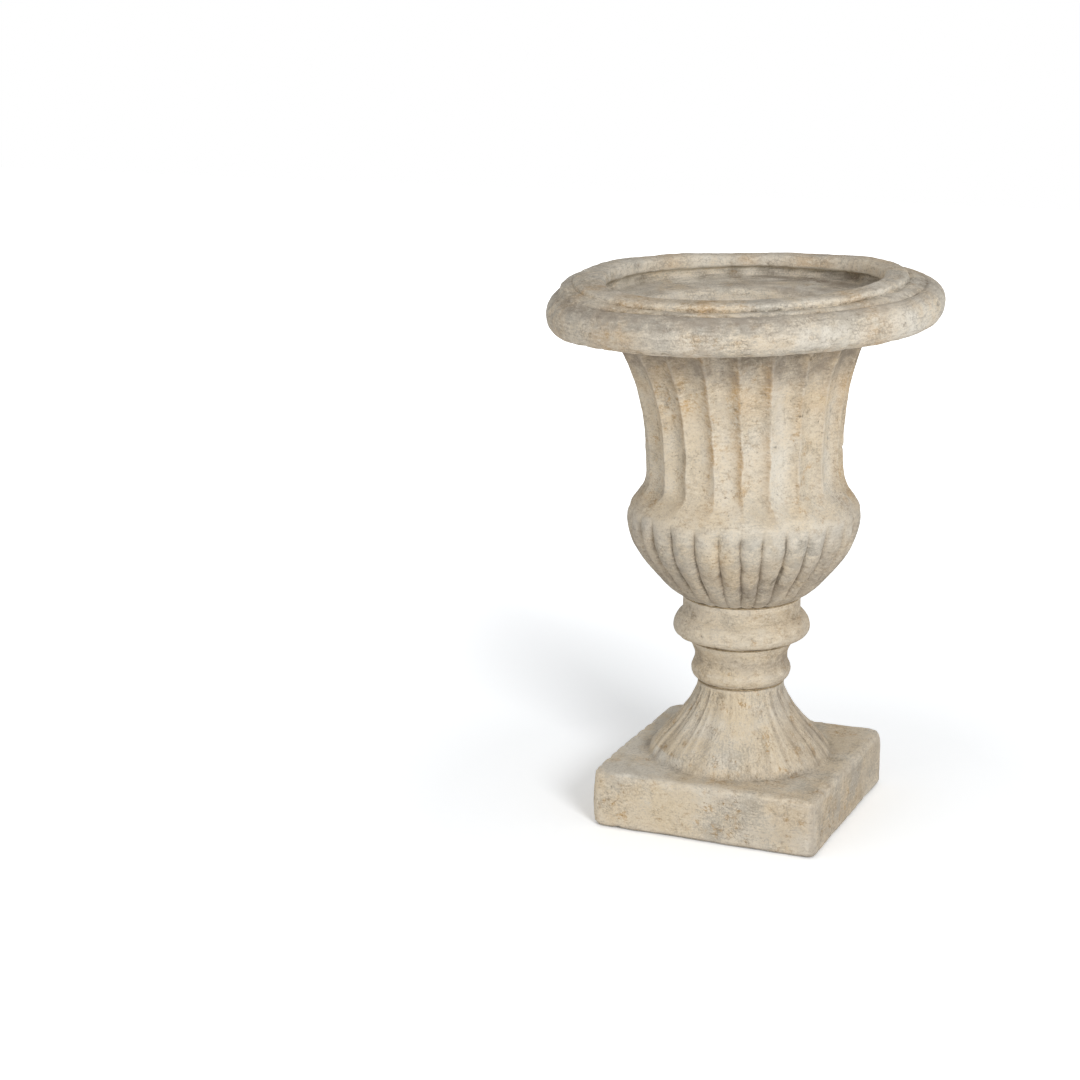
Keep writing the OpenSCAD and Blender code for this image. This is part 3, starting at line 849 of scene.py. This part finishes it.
def makeRim():
    seat = seatOf(rim["node"])
    piece, along, stroke = turn("rimRing", rim, seat)
    points = pointsOf(piece)
    radius, height, angle = turnedPlace(points, seat)
    facing = angle - lean["viewTurn"]

    # the step and its groove are worn to a slope on one side
    (footRadius, footHeight), (headRadius, headHeight) = rim["stepFoot"], rim["stepHead"]
    low, high = (along[np.argmin(np.hypot(radius - r, height - z))]
                 for r, z in (rim["stepFoot"], rim["stepHead"]))
    run = np.clip((along - low) / (high - low), 0, 1)
    worn = roundStops(facing, rim["wornStep"]) * (run > 0) * (run < 1)
    slopeRadius = footRadius + (headRadius - footRadius) * run
    slopeHeight = footHeight + (headHeight - footHeight) * run
    slopeHeight += rim["slopeSwell"] * np.sin(run * math.pi)
    wornRadius = radius + (slopeRadius - radius) * worn
    wornHeight = height + (slopeHeight - height) * worn

    # each band is out of round and out of flat in its own way
    lip = fade(wornHeight, *rim["lipHeight"])
    mouth = fade(wornRadius, *rim["mouthRadius"]) * fade(wornHeight, *rim["mouthHeight"])
    roll = (1 - lip) * (1 - mouth) * fade(wornRadius, *rim["rollRadius"])
    lip *= 1 - mouth
    crown = mouth * fade(wornHeight, *rim["crownHeight"])
    out = sum(share * roundStops(facing, rim[name]) for share, name in
              ((roll, "rollOut"), (lip, "lipOut"), (mouth, "mouthOut")))
    up = sum(share * roundStops(facing, rim[name]) for share, name in
             ((roll * fade(wornHeight, *rim["rollFoot"]), "rollUp"), (lip + crown, "lipUp"),
              (mouth - crown, "mouthUp")))
    edge = fade(wornRadius, *rim["edgeRadius"]) * between(wornHeight, *rim["edgeHeight"])
    up += edge * sum(tall * wander(points, size, seed) for tall, size, seed in rim["edgeWander"])
    points[:, :2] *= ((wornRadius + out) / radius)[:, None]
    points[:, 2] = seat + (wornHeight + up) * mm
    movePoints(piece, points)

    # the strokes after the mouth's edge are inside
    inside = stroke > rim["edgeStroke"]
    outsideLay = turnedLay(radius, angle, along, "round", rim["strokeReach"])
    insideLay = turnedLay(radius, angle, along, "round", rim["insideReach"])
    layStrokes(piece, np.where(inside[:, None], insideLay, outsideLay))
    roughen(piece, rim["lumps"])
    dice = np.random.default_rng(rim["seed"])
    for chipRadius, chipHeight, reach, count, sizes, depth in rim["chips"]:
        near = np.hypot(radius - chipRadius, height - chipHeight) < reach
        chip(piece, dice, near, count, sizes, depth)

    # grime on the shelf and ash on the upper roll, chalk on the lower, brush marks inside with painted
    # shadow at the back right under the lip
    shelf = fade(radius, *rim["shelfRadius"]) * fade(height, *rim["shelfHeight"])
    onRoll = stroke == rim["rollStroke"]
    ashy = between(height, *rim["upperRoll"]) * onRoll * dabsRound(facing, rim["ashSpots"])
    chalky = between(height, *rim["lowerRoll"]) * onRoll * dabsRound(facing, rim["chalkSpots"])
    # dark brush marks inside, with painted shadow at the back right
    brushMarksAndShadow = patchy(insideLay, *rim["darkBrush"]).clip(0, 1) * inside
    brushMarksAndShadow *= rim["leastBrush"] + dabsRound(facing, rim["insideShadowSpots"])
    dull = dabsRound(facing, rim["dullSpots"]) * (stroke <= rim["rollStroke"])
    dirtAndShade = rim["shelfDirt"] * shelf + rim["ashDirt"] * ashy + rim["brushDirtAndShadow"] * brushMarksAndShadow + dull
    paint(piece, "grimeAndShade", dirtAndShade)
    paint(piece, "ash", ashy + dabsRound(facing, rim["greySpots"]))
    pale = patchy(insideLay, *rim["paleBrush"]).clip(0, 1) * inside
    paint(piece, "limedAndHighlit", pale + chalky + ~inside * dabsRound(facing, rim["paleSpots"]))
    paint(piece, "rust", ~inside * dabsRound(facing, rim["ochreSpots"]))
    leanOver(piece)
    keep = rim["keepHollows"] - dabsRound(facing, rim["softGroove"])
    keep = np.where(inside & (height > rim["underLip"]), rim["keepUnderLip"], keep)
    markWear(piece, keep=keep, more=rim["brushSiltAndShadow"] * brushMarksAndShadow)
    finishPiece(piece, rimStone, rim["node"])


makeRim()


# The spigot, hole and socket that the knop and the collar have round the tube
core = {
    "radius": 15,
    "spigotRadius": 28.0,
    "spigotHeight": 5.8,
    "socketRadius": 28.5,
    "socketDepth": 6,
    "seatGap": 0.2,
    "spacings": [5, 4, 5, 9, 7, 5, 6],
}


# Closes a section's outline: over its top, up the spigot, down the hole and out of the socket
def coreStrokes(topEdge, top, seatEdge):
    hole, spigot, socket = core["radius"], core["spigotRadius"], core["socketRadius"]
    high, depth = top + core["spigotHeight"], core["socketDepth"]
    return straights(core["spacings"], [
        (topEdge, top - core["seatGap"]), (spigot, top), (spigot, high), (hole, high), (hole, depth),
        (socket, depth), (socket, core["seatGap"]), (seatEdge, core["seatGap"])])


knop = {
    "node": "knop_casting",
    "segments": 340,
    "seed": 21,
    "shade": (42, 7, 0.2),      # height, width and strength of a band of painted shade in the concave neck
    "outline": [
        (1.4, [(60.6, 0.2), (61.8, 1.6), (67.5, 3.0), (74.6, 6.2), (78, 10.7), (78.6, 15.5), (77.2, 22),
               (73.2, 28), (69.3, 31.5), (67.6, 34.5), (67.2, 42), (67.5, 50.3)]),
        *coreStrokes(67.5, 50.5, 60.6),
    ],
}
collar = {
    "node": "collar_casting",
    "segments": 280,
    "seed": 22,
    "shade": (29, 10, 0.5),
    "outline": [
        (1.5, [(51.0, 0.2), (52.4, 1.6), (55.2, 4.6), (57, 9), (57.3, 14), (55.4, 19), (53.7, 23),
               (53.2, 28), (53.8, 33), (55.6, 38), (57.6, 42.5), (59.5, 46.8)]),
        *coreStrokes(59.5, 47, 51.0),
    ],
}
# what the knop and the collar share
stem = {
    "strokeReach": 0.4,
    "lumps": [(26, 1.1), (8, 0.7)],
    "jointEdge": 4,
    "jointDirt": (5, -5, 0.6),
    "rightShade": (20, 40, 0.4),     # degrees where the painted shade on a side turned from the lamp starts, run and strength
    "leftShade": (-25, -40, 0.25),
    "leastDirt": 0.08,
}


def makeTurned(name, plan):
    seat = seatOf(plan["node"])
    piece, along, stroke = turn(name, plan, seat)
    radius, height, angle = turnedPlace(pointsOf(piece), seat)
    layStrokes(piece, turnedLay(radius, angle, along, "round", stem["strokeReach"]))
    roughen(piece, stem["lumps"])
    dice = np.random.default_rng(plan["seed"])
    face = stroke == 0
    chip(piece, dice, face, count=40, sizes=(2, 4.5), depth=0.8)
    chip(piece, dice, face & (height < stem["jointEdge"]), count=24, sizes=(2, 4), depth=0.9)
    facing = angle - lean["viewTurn"]
    # painted shade on the sides turned from the lamp and in the concave neck, with a little grime
    dirtAndShade = fade(facing, *stem["rightShade"]) + fade(facing, *stem["leftShade"])
    dirtAndShade += stem["leastDirt"] + swell(height, *plan["shade"])
    paint(piece, "grimeAndShade", fade(height, *stem["jointDirt"]) + dirtAndShade * face)
    markWear(piece)
    finishPiece(piece, stemStone, plan["node"])


makeTurned("knopBlock", knop)
makeTurned("collarBlock", collar)


foot = {
    "node": "foot_casting",
    "width": 268,
    "height": 65,
    "cornerRounds": [((-1, -1), 13), ((1, -1), 7), ((1, 1), 9), ((-1, 1), 11)],
    "cornerFrom": 100,      # the edges of a corner lie further out than this
    "uprightOver": 20,      # and are upright where they are longer than this
    "edgeRound": 5.0,
    "footRound": 2.0,
    "recessRadius": 92,
    "recessTop": 43,
    "boreRadius": 15,
    "boreLength": 400,
    "voxel": 2.1,           # size of the mesh that joins plinth and socle
    "segments": 180,
    "outline": [
        *straights([3, 3], [(15, 20), (105, 20), (105.3, 65)]),
        (2.0, [(105.3, 65), (104, 71), (99.5, 78), (91, 88.5), (80.5, 99), (70, 111), (62.5, 121),
               (57, 130), (52.7, 139), (50.4, 145), (49.8, 149), (50.6, 153)]),
        *straights([4, 3, 4, 6], [(50.6, 153), (28, 153), (28, 159), (15, 159), (15, 20)]),
    ],
    # place of the corner, and how far and how deep the wear goes
    "wornCorners": [((-134, -134, 65), 17, 4.0), ((-134, -134, 0), 12, 2.5), ((134, -134, 65), 12, 1.5),
                    ((134, 134, 65), 12, 2.0), ((-134, 134, 65), 14, 2.5)],
    "socleRadius": 108,     # the socle lies inside this, and above this height
    "socleFrom": 66,
    "socleSlope": (0.6, 0.8),       # share of the height and of the radius in the way down the flare
    "strokeReach": 0.45,
    "furrowReach": 0.1,
    "furrowSize": 11.0,
    "furrowSeeds": (12.0, 15.0),
    "furrowDepth": 2.0,
    "furrowBand": (66, 8, 152, 8),  # from a height and its run to another
    "furrowRadius": 45,
    "lumps": [(60, 2.2), (12, 1.0)],
    "seed": 31,
    # where the plinth is chipped: outside a radius, at its edges and along the ground
    "plinthRadius": 106,
    "edgeFrom": 131,
    "topFrom": 60,
    "sideFrom": 3,
    "groundEdge": 2,
    "skirtPatches": (40, 21.0, 0.5, 0.5),   # size, seed, level and swing
    # fades over height, radius, degrees or x: where each starts, run and strength
    "skirtRadius": (120, -14, 0.7),
    "skirtTop": (74, -8),
    "footDirt": (6, -6, 0.6),
    "furrowDirt": 0.55,
    # painted shade on the socle and the plinth face turned from the lamp
    "rightSideShade": (20, 40, 0.55),
    "rightLow": (62, 8),
    "rightFaceShade": (126, 5, 0.55),
    "rightFaceTop": (67, -5),
    "frontFace": (-20, 60, 0.275),
    "frontFrom": -126,
    "leftTop": (-10, -60, 0.9),
    "leftTopLow": (62, 3),
    "leftTopRadius": 100,
}


def bevelWhere(piece, test, width, segments):
    bpy.ops.object.mode_set(mode="EDIT")
    bpy.ops.mesh.select_mode(type="EDGE")
    bpy.ops.mesh.select_all(action="DESELECT")
    bpy.ops.object.mode_set(mode="OBJECT")
    for edge in piece.data.edges:
        edge.select = test(*(piece.data.vertices[i].co for i in edge.vertices))
    bpy.ops.object.mode_set(mode="EDIT")
    bpy.ops.mesh.bevel(offset=width * mm, segments=segments, affect="EDGES")
    bpy.ops.object.mode_set(mode="OBJECT")


def makeFoot():
    seat = seatOf(foot["node"])
    top = seat + foot["height"] * mm
    clearSelection()
    bpy.ops.mesh.primitive_cube_add(size=1, location=(0, 0, (seat + top) / 2))
    piece = bpy.context.object
    piece.name = "footBlock"
    piece.scale = (foot["width"] * mm, foot["width"] * mm, foot["height"] * mm)
    settleTransform(piece)
    cornerFrom = foot["cornerFrom"] * mm
    uprightOver = foot["uprightOver"] * mm
    for (sideX, sideY), width in foot["cornerRounds"]:
        bevelWhere(piece, lambda a, b: abs(a.z - b.z) > uprightOver and a.x * sideX > cornerFrom
                   and a.y * sideY > cornerFrom, width, 4)
    bevelWhere(piece, lambda a, b: min(a.z, b.z) > top - mm, foot["edgeRound"], 3)
    bevelWhere(piece, lambda a, b: max(a.z, b.z) < seat + mm, foot["footRound"], 2)

    # join the socle, then cut the hollow underneath and the hole for the tube
    socle, _, _ = turn("socle", foot, seat)
    clearSelection()
    bpy.ops.mesh.primitive_cylinder_add(vertices=96, radius=foot["recessRadius"] * mm,
                                        depth=2 * foot["recessTop"] * mm, location=(0, 0, seat))
    recess = bpy.context.object
    clearSelection()
    bpy.ops.mesh.primitive_cylinder_add(vertices=48, radius=foot["boreRadius"] * mm,
                                        depth=foot["boreLength"] * mm, location=(0, 0, seat))
    bore = bpy.context.object
    for operation, other in (("UNION", socle), ("DIFFERENCE", bore), ("DIFFERENCE", recess)):
        runModifier(piece, "BOOLEAN", operation=operation, object=other, solver="EXACT")
        bpy.data.objects.remove(other)
    runModifier(piece, "REMESH", mode="VOXEL", voxel_size=foot["voxel"] * mm)
    runModifier(piece, "SMOOTH", factor=0.5, iterations=4)

    # the plinth's corners are worn most
    points = pointsOf(piece)
    for corner, size, depth in foot["wornCorners"]:
        gap = np.linalg.norm(points - np.array(corner) * mm - (0, 0, seat), axis=1) / (size * mm)
        points -= normalsOf(piece) * (np.exp(-gap ** 2) * depth * mm)[:, None]
    movePoints(piece, points)

    # brush marks: down the socle, and along the top and sides of the plinth
    normals = np.abs(normalsOf(piece))
    radius, height, angle = turnedPlace(points, seat)
    onSocle = (radius < foot["socleRadius"]) & (height > foot["socleFrom"])
    up, out = foot["socleSlope"]
    downhill = height * up - radius * out
    downSocle = turnedLay(radius, angle, downhill, "down", foot["strokeReach"])
    x, y, z = points.T
    alongX = np.stack([z, y, x * foot["strokeReach"]], 1)
    alongY = np.stack([z, x, y * foot["strokeReach"]], 1)
    alongPlinth = np.where((normals[:, 0] > normals[:, 1])[:, None], alongY, alongX)
    layStrokes(piece, np.where(onSocle[:, None], downSocle, alongPlinth))

    # furrows that weather has cut down the socle
    ribs = turnedLay(radius, angle, downhill, "down", foot["furrowReach"])
    furrows = np.maximum(*(wander(ribs, foot["furrowSize"], seed) for seed in foot["furrowSeeds"]))
    band = between(height, *foot["furrowBand"]) * (radius > foot["furrowRadius"])
    furrows = furrows.clip(0, 1) * band
    carve(piece, furrows, foot["furrowDepth"])

    roughen(piece, foot["lumps"])
    dice = np.random.default_rng(foot["seed"])
    onPlinth = radius > foot["plinthRadius"]
    edge = (np.maximum(np.abs(x), np.abs(y)) > foot["edgeFrom"] * mm) & (height > foot["topFrom"])
    chip(piece, dice, onPlinth & (height > foot["sideFrom"]), count=70, sizes=(2.5, 5), depth=0.9)
    chip(piece, dice, edge, count=40, sizes=(2.5, 6), depth=1.2)
    chip(piece, dice, onPlinth & (height < foot["groundEdge"]), count=30, sizes=(3, 6), depth=1.2)

    # grime round the socle, along the ground and in the furrows, and painted shade on the sides turned
    # from the lamp
    facing = angle - lean["viewTurn"]
    x, y = x / mm, y / mm
    dirtAndShade = fade(radius, *foot["skirtRadius"]) * fade(height, *foot["skirtTop"])
    dirtAndShade *= patchy(points, *foot["skirtPatches"])
    dirtAndShade += fade(height, *foot["footDirt"]) + foot["furrowDirt"] * furrows
    dirtAndShade += fade(facing, *foot["rightSideShade"]) * fade(height, *foot["rightLow"]) * onSocle
    dirtAndShade += fade(x, *foot["rightFaceShade"]) * fade(height, *foot["rightFaceTop"])
    dirtAndShade += fade(x, *foot["frontFace"]) * (y < foot["frontFrom"]) * (height < foot["topFrom"])
    paint(piece, "grimeAndShade", dirtAndShade)
    leftTop = fade(x, *foot["leftTop"]) * fade(height, *foot["leftTopLow"])
    paint(piece, "limedAndHighlit", leftTop * (radius > foot["leftTopRadius"]))
    markWear(piece)
    finishPiece(piece, footStone, foot["node"], angle=80)


makeFoot()


# Mortar beds, raked back from the faces by hand
beds = {
    "segments": 240,
    "edgeHeight": 0.1,
    "spacings": [1.0, 0.6, 4.0, 4.0],
    "stray": (1.0, 9, 6.0),     # how far the raked edge strays, with the size and seed of its wander
    "strayDepth": 3,
    # node, inner radius, and outer radius at the bottom and at the top
    "rings": [("foot_bed", 29.0, 50.6, 50.9), ("collar_bed", 29.0, 59.9, 60.5),
              ("knop_bed", 29.0, 67.9, 68.5), ("rim_bed", 124.0, 144.9, 146.0)],
}


def makeBed(node, inner, outerLow, outerHigh):
    low, high = (corner.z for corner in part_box(node))
    flat = beds["edgeHeight"]
    tall = (high - low) / mm - flat
    plan = {"segments": beds["segments"], "outline": straights(beds["spacings"], [
        (inner, flat), (outerLow, flat), (outerHigh, tall), (inner, tall), (inner, flat)])}
    piece, _, _ = turn(node.replace("_b", "B"), plan, low)
    points = pointsOf(piece)
    near = np.hypot(points[:, 0], points[:, 1]) > (outerLow - beds["strayDepth"]) * mm
    far, size, seed = beds["stray"]
    points[:, :2] *= (1 + far / outerLow * wander(points, size, seed) * near)[:, None]
    movePoints(piece, points)
    leanOver(piece)
    finishPiece(piece, mortar, node)


for ring in beds["rings"]:
    makeBed(*ring)


def dress(material, *names):
    for name in names:
        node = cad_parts[name]
        node.data.materials.clear()
        node.data.materials.append(material)


dress(galvanised, "tie_tube", "top_washer", "anchor_plate", "spring_washer", "rim_dowels",
      "rim_hoop", "bowl_hoop", "plinth_bars")
dress(brass, "top_nut", "bottom_nut")
dress(rubber, "floor_seal", "foot_pads")
dress(screenPlastic, "drain_screen")
print("small parts dressed")


stage = {
    "floorSize": 12.0,      # metres, as all lengths of the stage are
    "floorColour": "#f4f4f4",
    "floorSeen": "#f1f3f5",
    "floorGain": 1.57,      # for the camera alone, so that the lit floor is white
    "floorLift": 0.85,      # glow far from the part, for the camera alone
    "liftFrom": 0.35,
    "liftTo": 2.2,
    "skyLevel": 0.53,
    "keyPlace": (2.85, -3.04, 2.1),
    "keySize": 1.4,
    "keyPower": 95.0,
    "fillPlace": (-1.6, -3.4, 1.4),
    "fillSize": 2.4,
    "fillPower": 11.0,
    "aim": (0, 0, 0.35),
}


# 1 where the camera or a mirror looks, and 0 where light bounces
def seenDirectly(tree):
    ray = put(tree, "ShaderNodeLightPath")
    return put(tree, "ShaderNodeMath", {0: ray.outputs["Is Camera Ray"], 1: ray.outputs["Is Glossy Ray"]},
               operation="MAXIMUM").outputs[0]


def makeFloor():
    clearSelection()
    bpy.ops.mesh.primitive_plane_add(size=stage["floorSize"], location=(0, 0, 0))
    floor = bpy.context.object
    floor.name = "studioFloor"
    material = bpy.data.materials.new("paleFloor")
    material.use_nodes = True
    tree = material.node_tree
    tree.nodes.clear()
    seen = seenDirectly(tree)
    bright = tuple(c * stage["floorGain"] for c in colour(stage["floorSeen"])[:3]) + (1.0,)
    tint = put(tree, "ShaderNodeMix", {"Factor": seen, 6: colour(stage["floorColour"]), 7: bright},
               data_type="RGBA", clamp_factor=True)
    paper = put(tree, "ShaderNodeBsdfDiffuse", {"Color": tint.outputs[2]})
    place = put(tree, "ShaderNodeTexCoord").outputs["Object"]
    reach = put(tree, "ShaderNodeVectorMath", {0: place}, operation="LENGTH").outputs["Value"]
    far = put(tree, "ShaderNodeMapRange", {
        "Value": reach, "From Min": stage["liftFrom"], "From Max": stage["liftTo"],
        "To Max": stage["floorLift"]}).outputs["Result"]
    lift = put(tree, "ShaderNodeMath", {0: seen, 1: far}, operation="MULTIPLY")
    glow = put(tree, "ShaderNodeEmission", {"Strength": lift.outputs[0]})
    both = put(tree, "ShaderNodeAddShader", {0: paper.outputs[0], 1: glow.outputs[0]})
    put(tree, "ShaderNodeOutputMaterial", {"Surface": both.outputs[0]})
    floor.data.materials.append(material)


def makeSky():
    world = bpy.data.worlds.new("studioSky")
    bpy.context.scene.world = world
    world.use_nodes = True
    tree = world.node_tree
    tree.nodes.clear()
    level = put(tree, "ShaderNodeMapRange", {
        "Value": seenDirectly(tree), "To Min": stage["skyLevel"], "To Max": 1.0})
    sky = put(tree, "ShaderNodeBackground", {"Color": (1, 1, 1, 1), "Strength": level.outputs["Result"]})
    put(tree, "ShaderNodeOutputWorld", {"Surface": sky.outputs[0]})


def makeLamp(name, place, size, power):
    lamp = bpy.data.lights.new(name, "AREA")
    lamp.shape = "DISK"
    lamp.size = size
    lamp.energy = power
    holder = bpy.data.objects.new(name, lamp)
    bpy.context.scene.collection.objects.link(holder)
    holder.location = place
    aim = Vector(stage["aim"]) - Vector(place)
    holder.rotation_euler = aim.to_track_quat("-Z", "Y").to_euler()


makeFloor()
makeSky()
makeLamp("keyLamp", stage["keyPlace"], stage["keySize"], stage["keyPower"])
makeLamp("fillLamp", stage["fillPlace"], stage["fillSize"], stage["fillPower"])

viewer = {
    "place": (0.848, -2.453, 1.000),
    "heading": 24.19,       # degrees from +Y towards -X
    "pitch": 14.69,         # degrees below the horizon
    "roll": -0.52,
    "lens": 77.9,
    "sensor": 36.0,
}


def makeCamera():
    data = bpy.data.cameras.new("viewer")
    data.lens = viewer["lens"]
    data.sensor_width = viewer["sensor"]
    camera = bpy.data.objects.new("viewer", data)
    bpy.context.scene.collection.objects.link(camera)
    camera.location = viewer["place"]
    heading = math.radians(viewer["heading"])
    pitch = math.radians(viewer["pitch"])
    ahead = Vector((-math.sin(heading) * math.cos(pitch), math.cos(heading) * math.cos(pitch),
                    -math.sin(pitch)))
    roll = Matrix.Rotation(math.radians(viewer["roll"]), 3, "Z")
    turned = ahead.to_track_quat("-Z", "Y").to_matrix() @ roll
    camera.rotation_euler = turned.to_euler()
    bpy.context.scene.camera = camera


makeCamera()
bpy.context.scene.view_settings.view_transform = "Standard"
print("stage set")
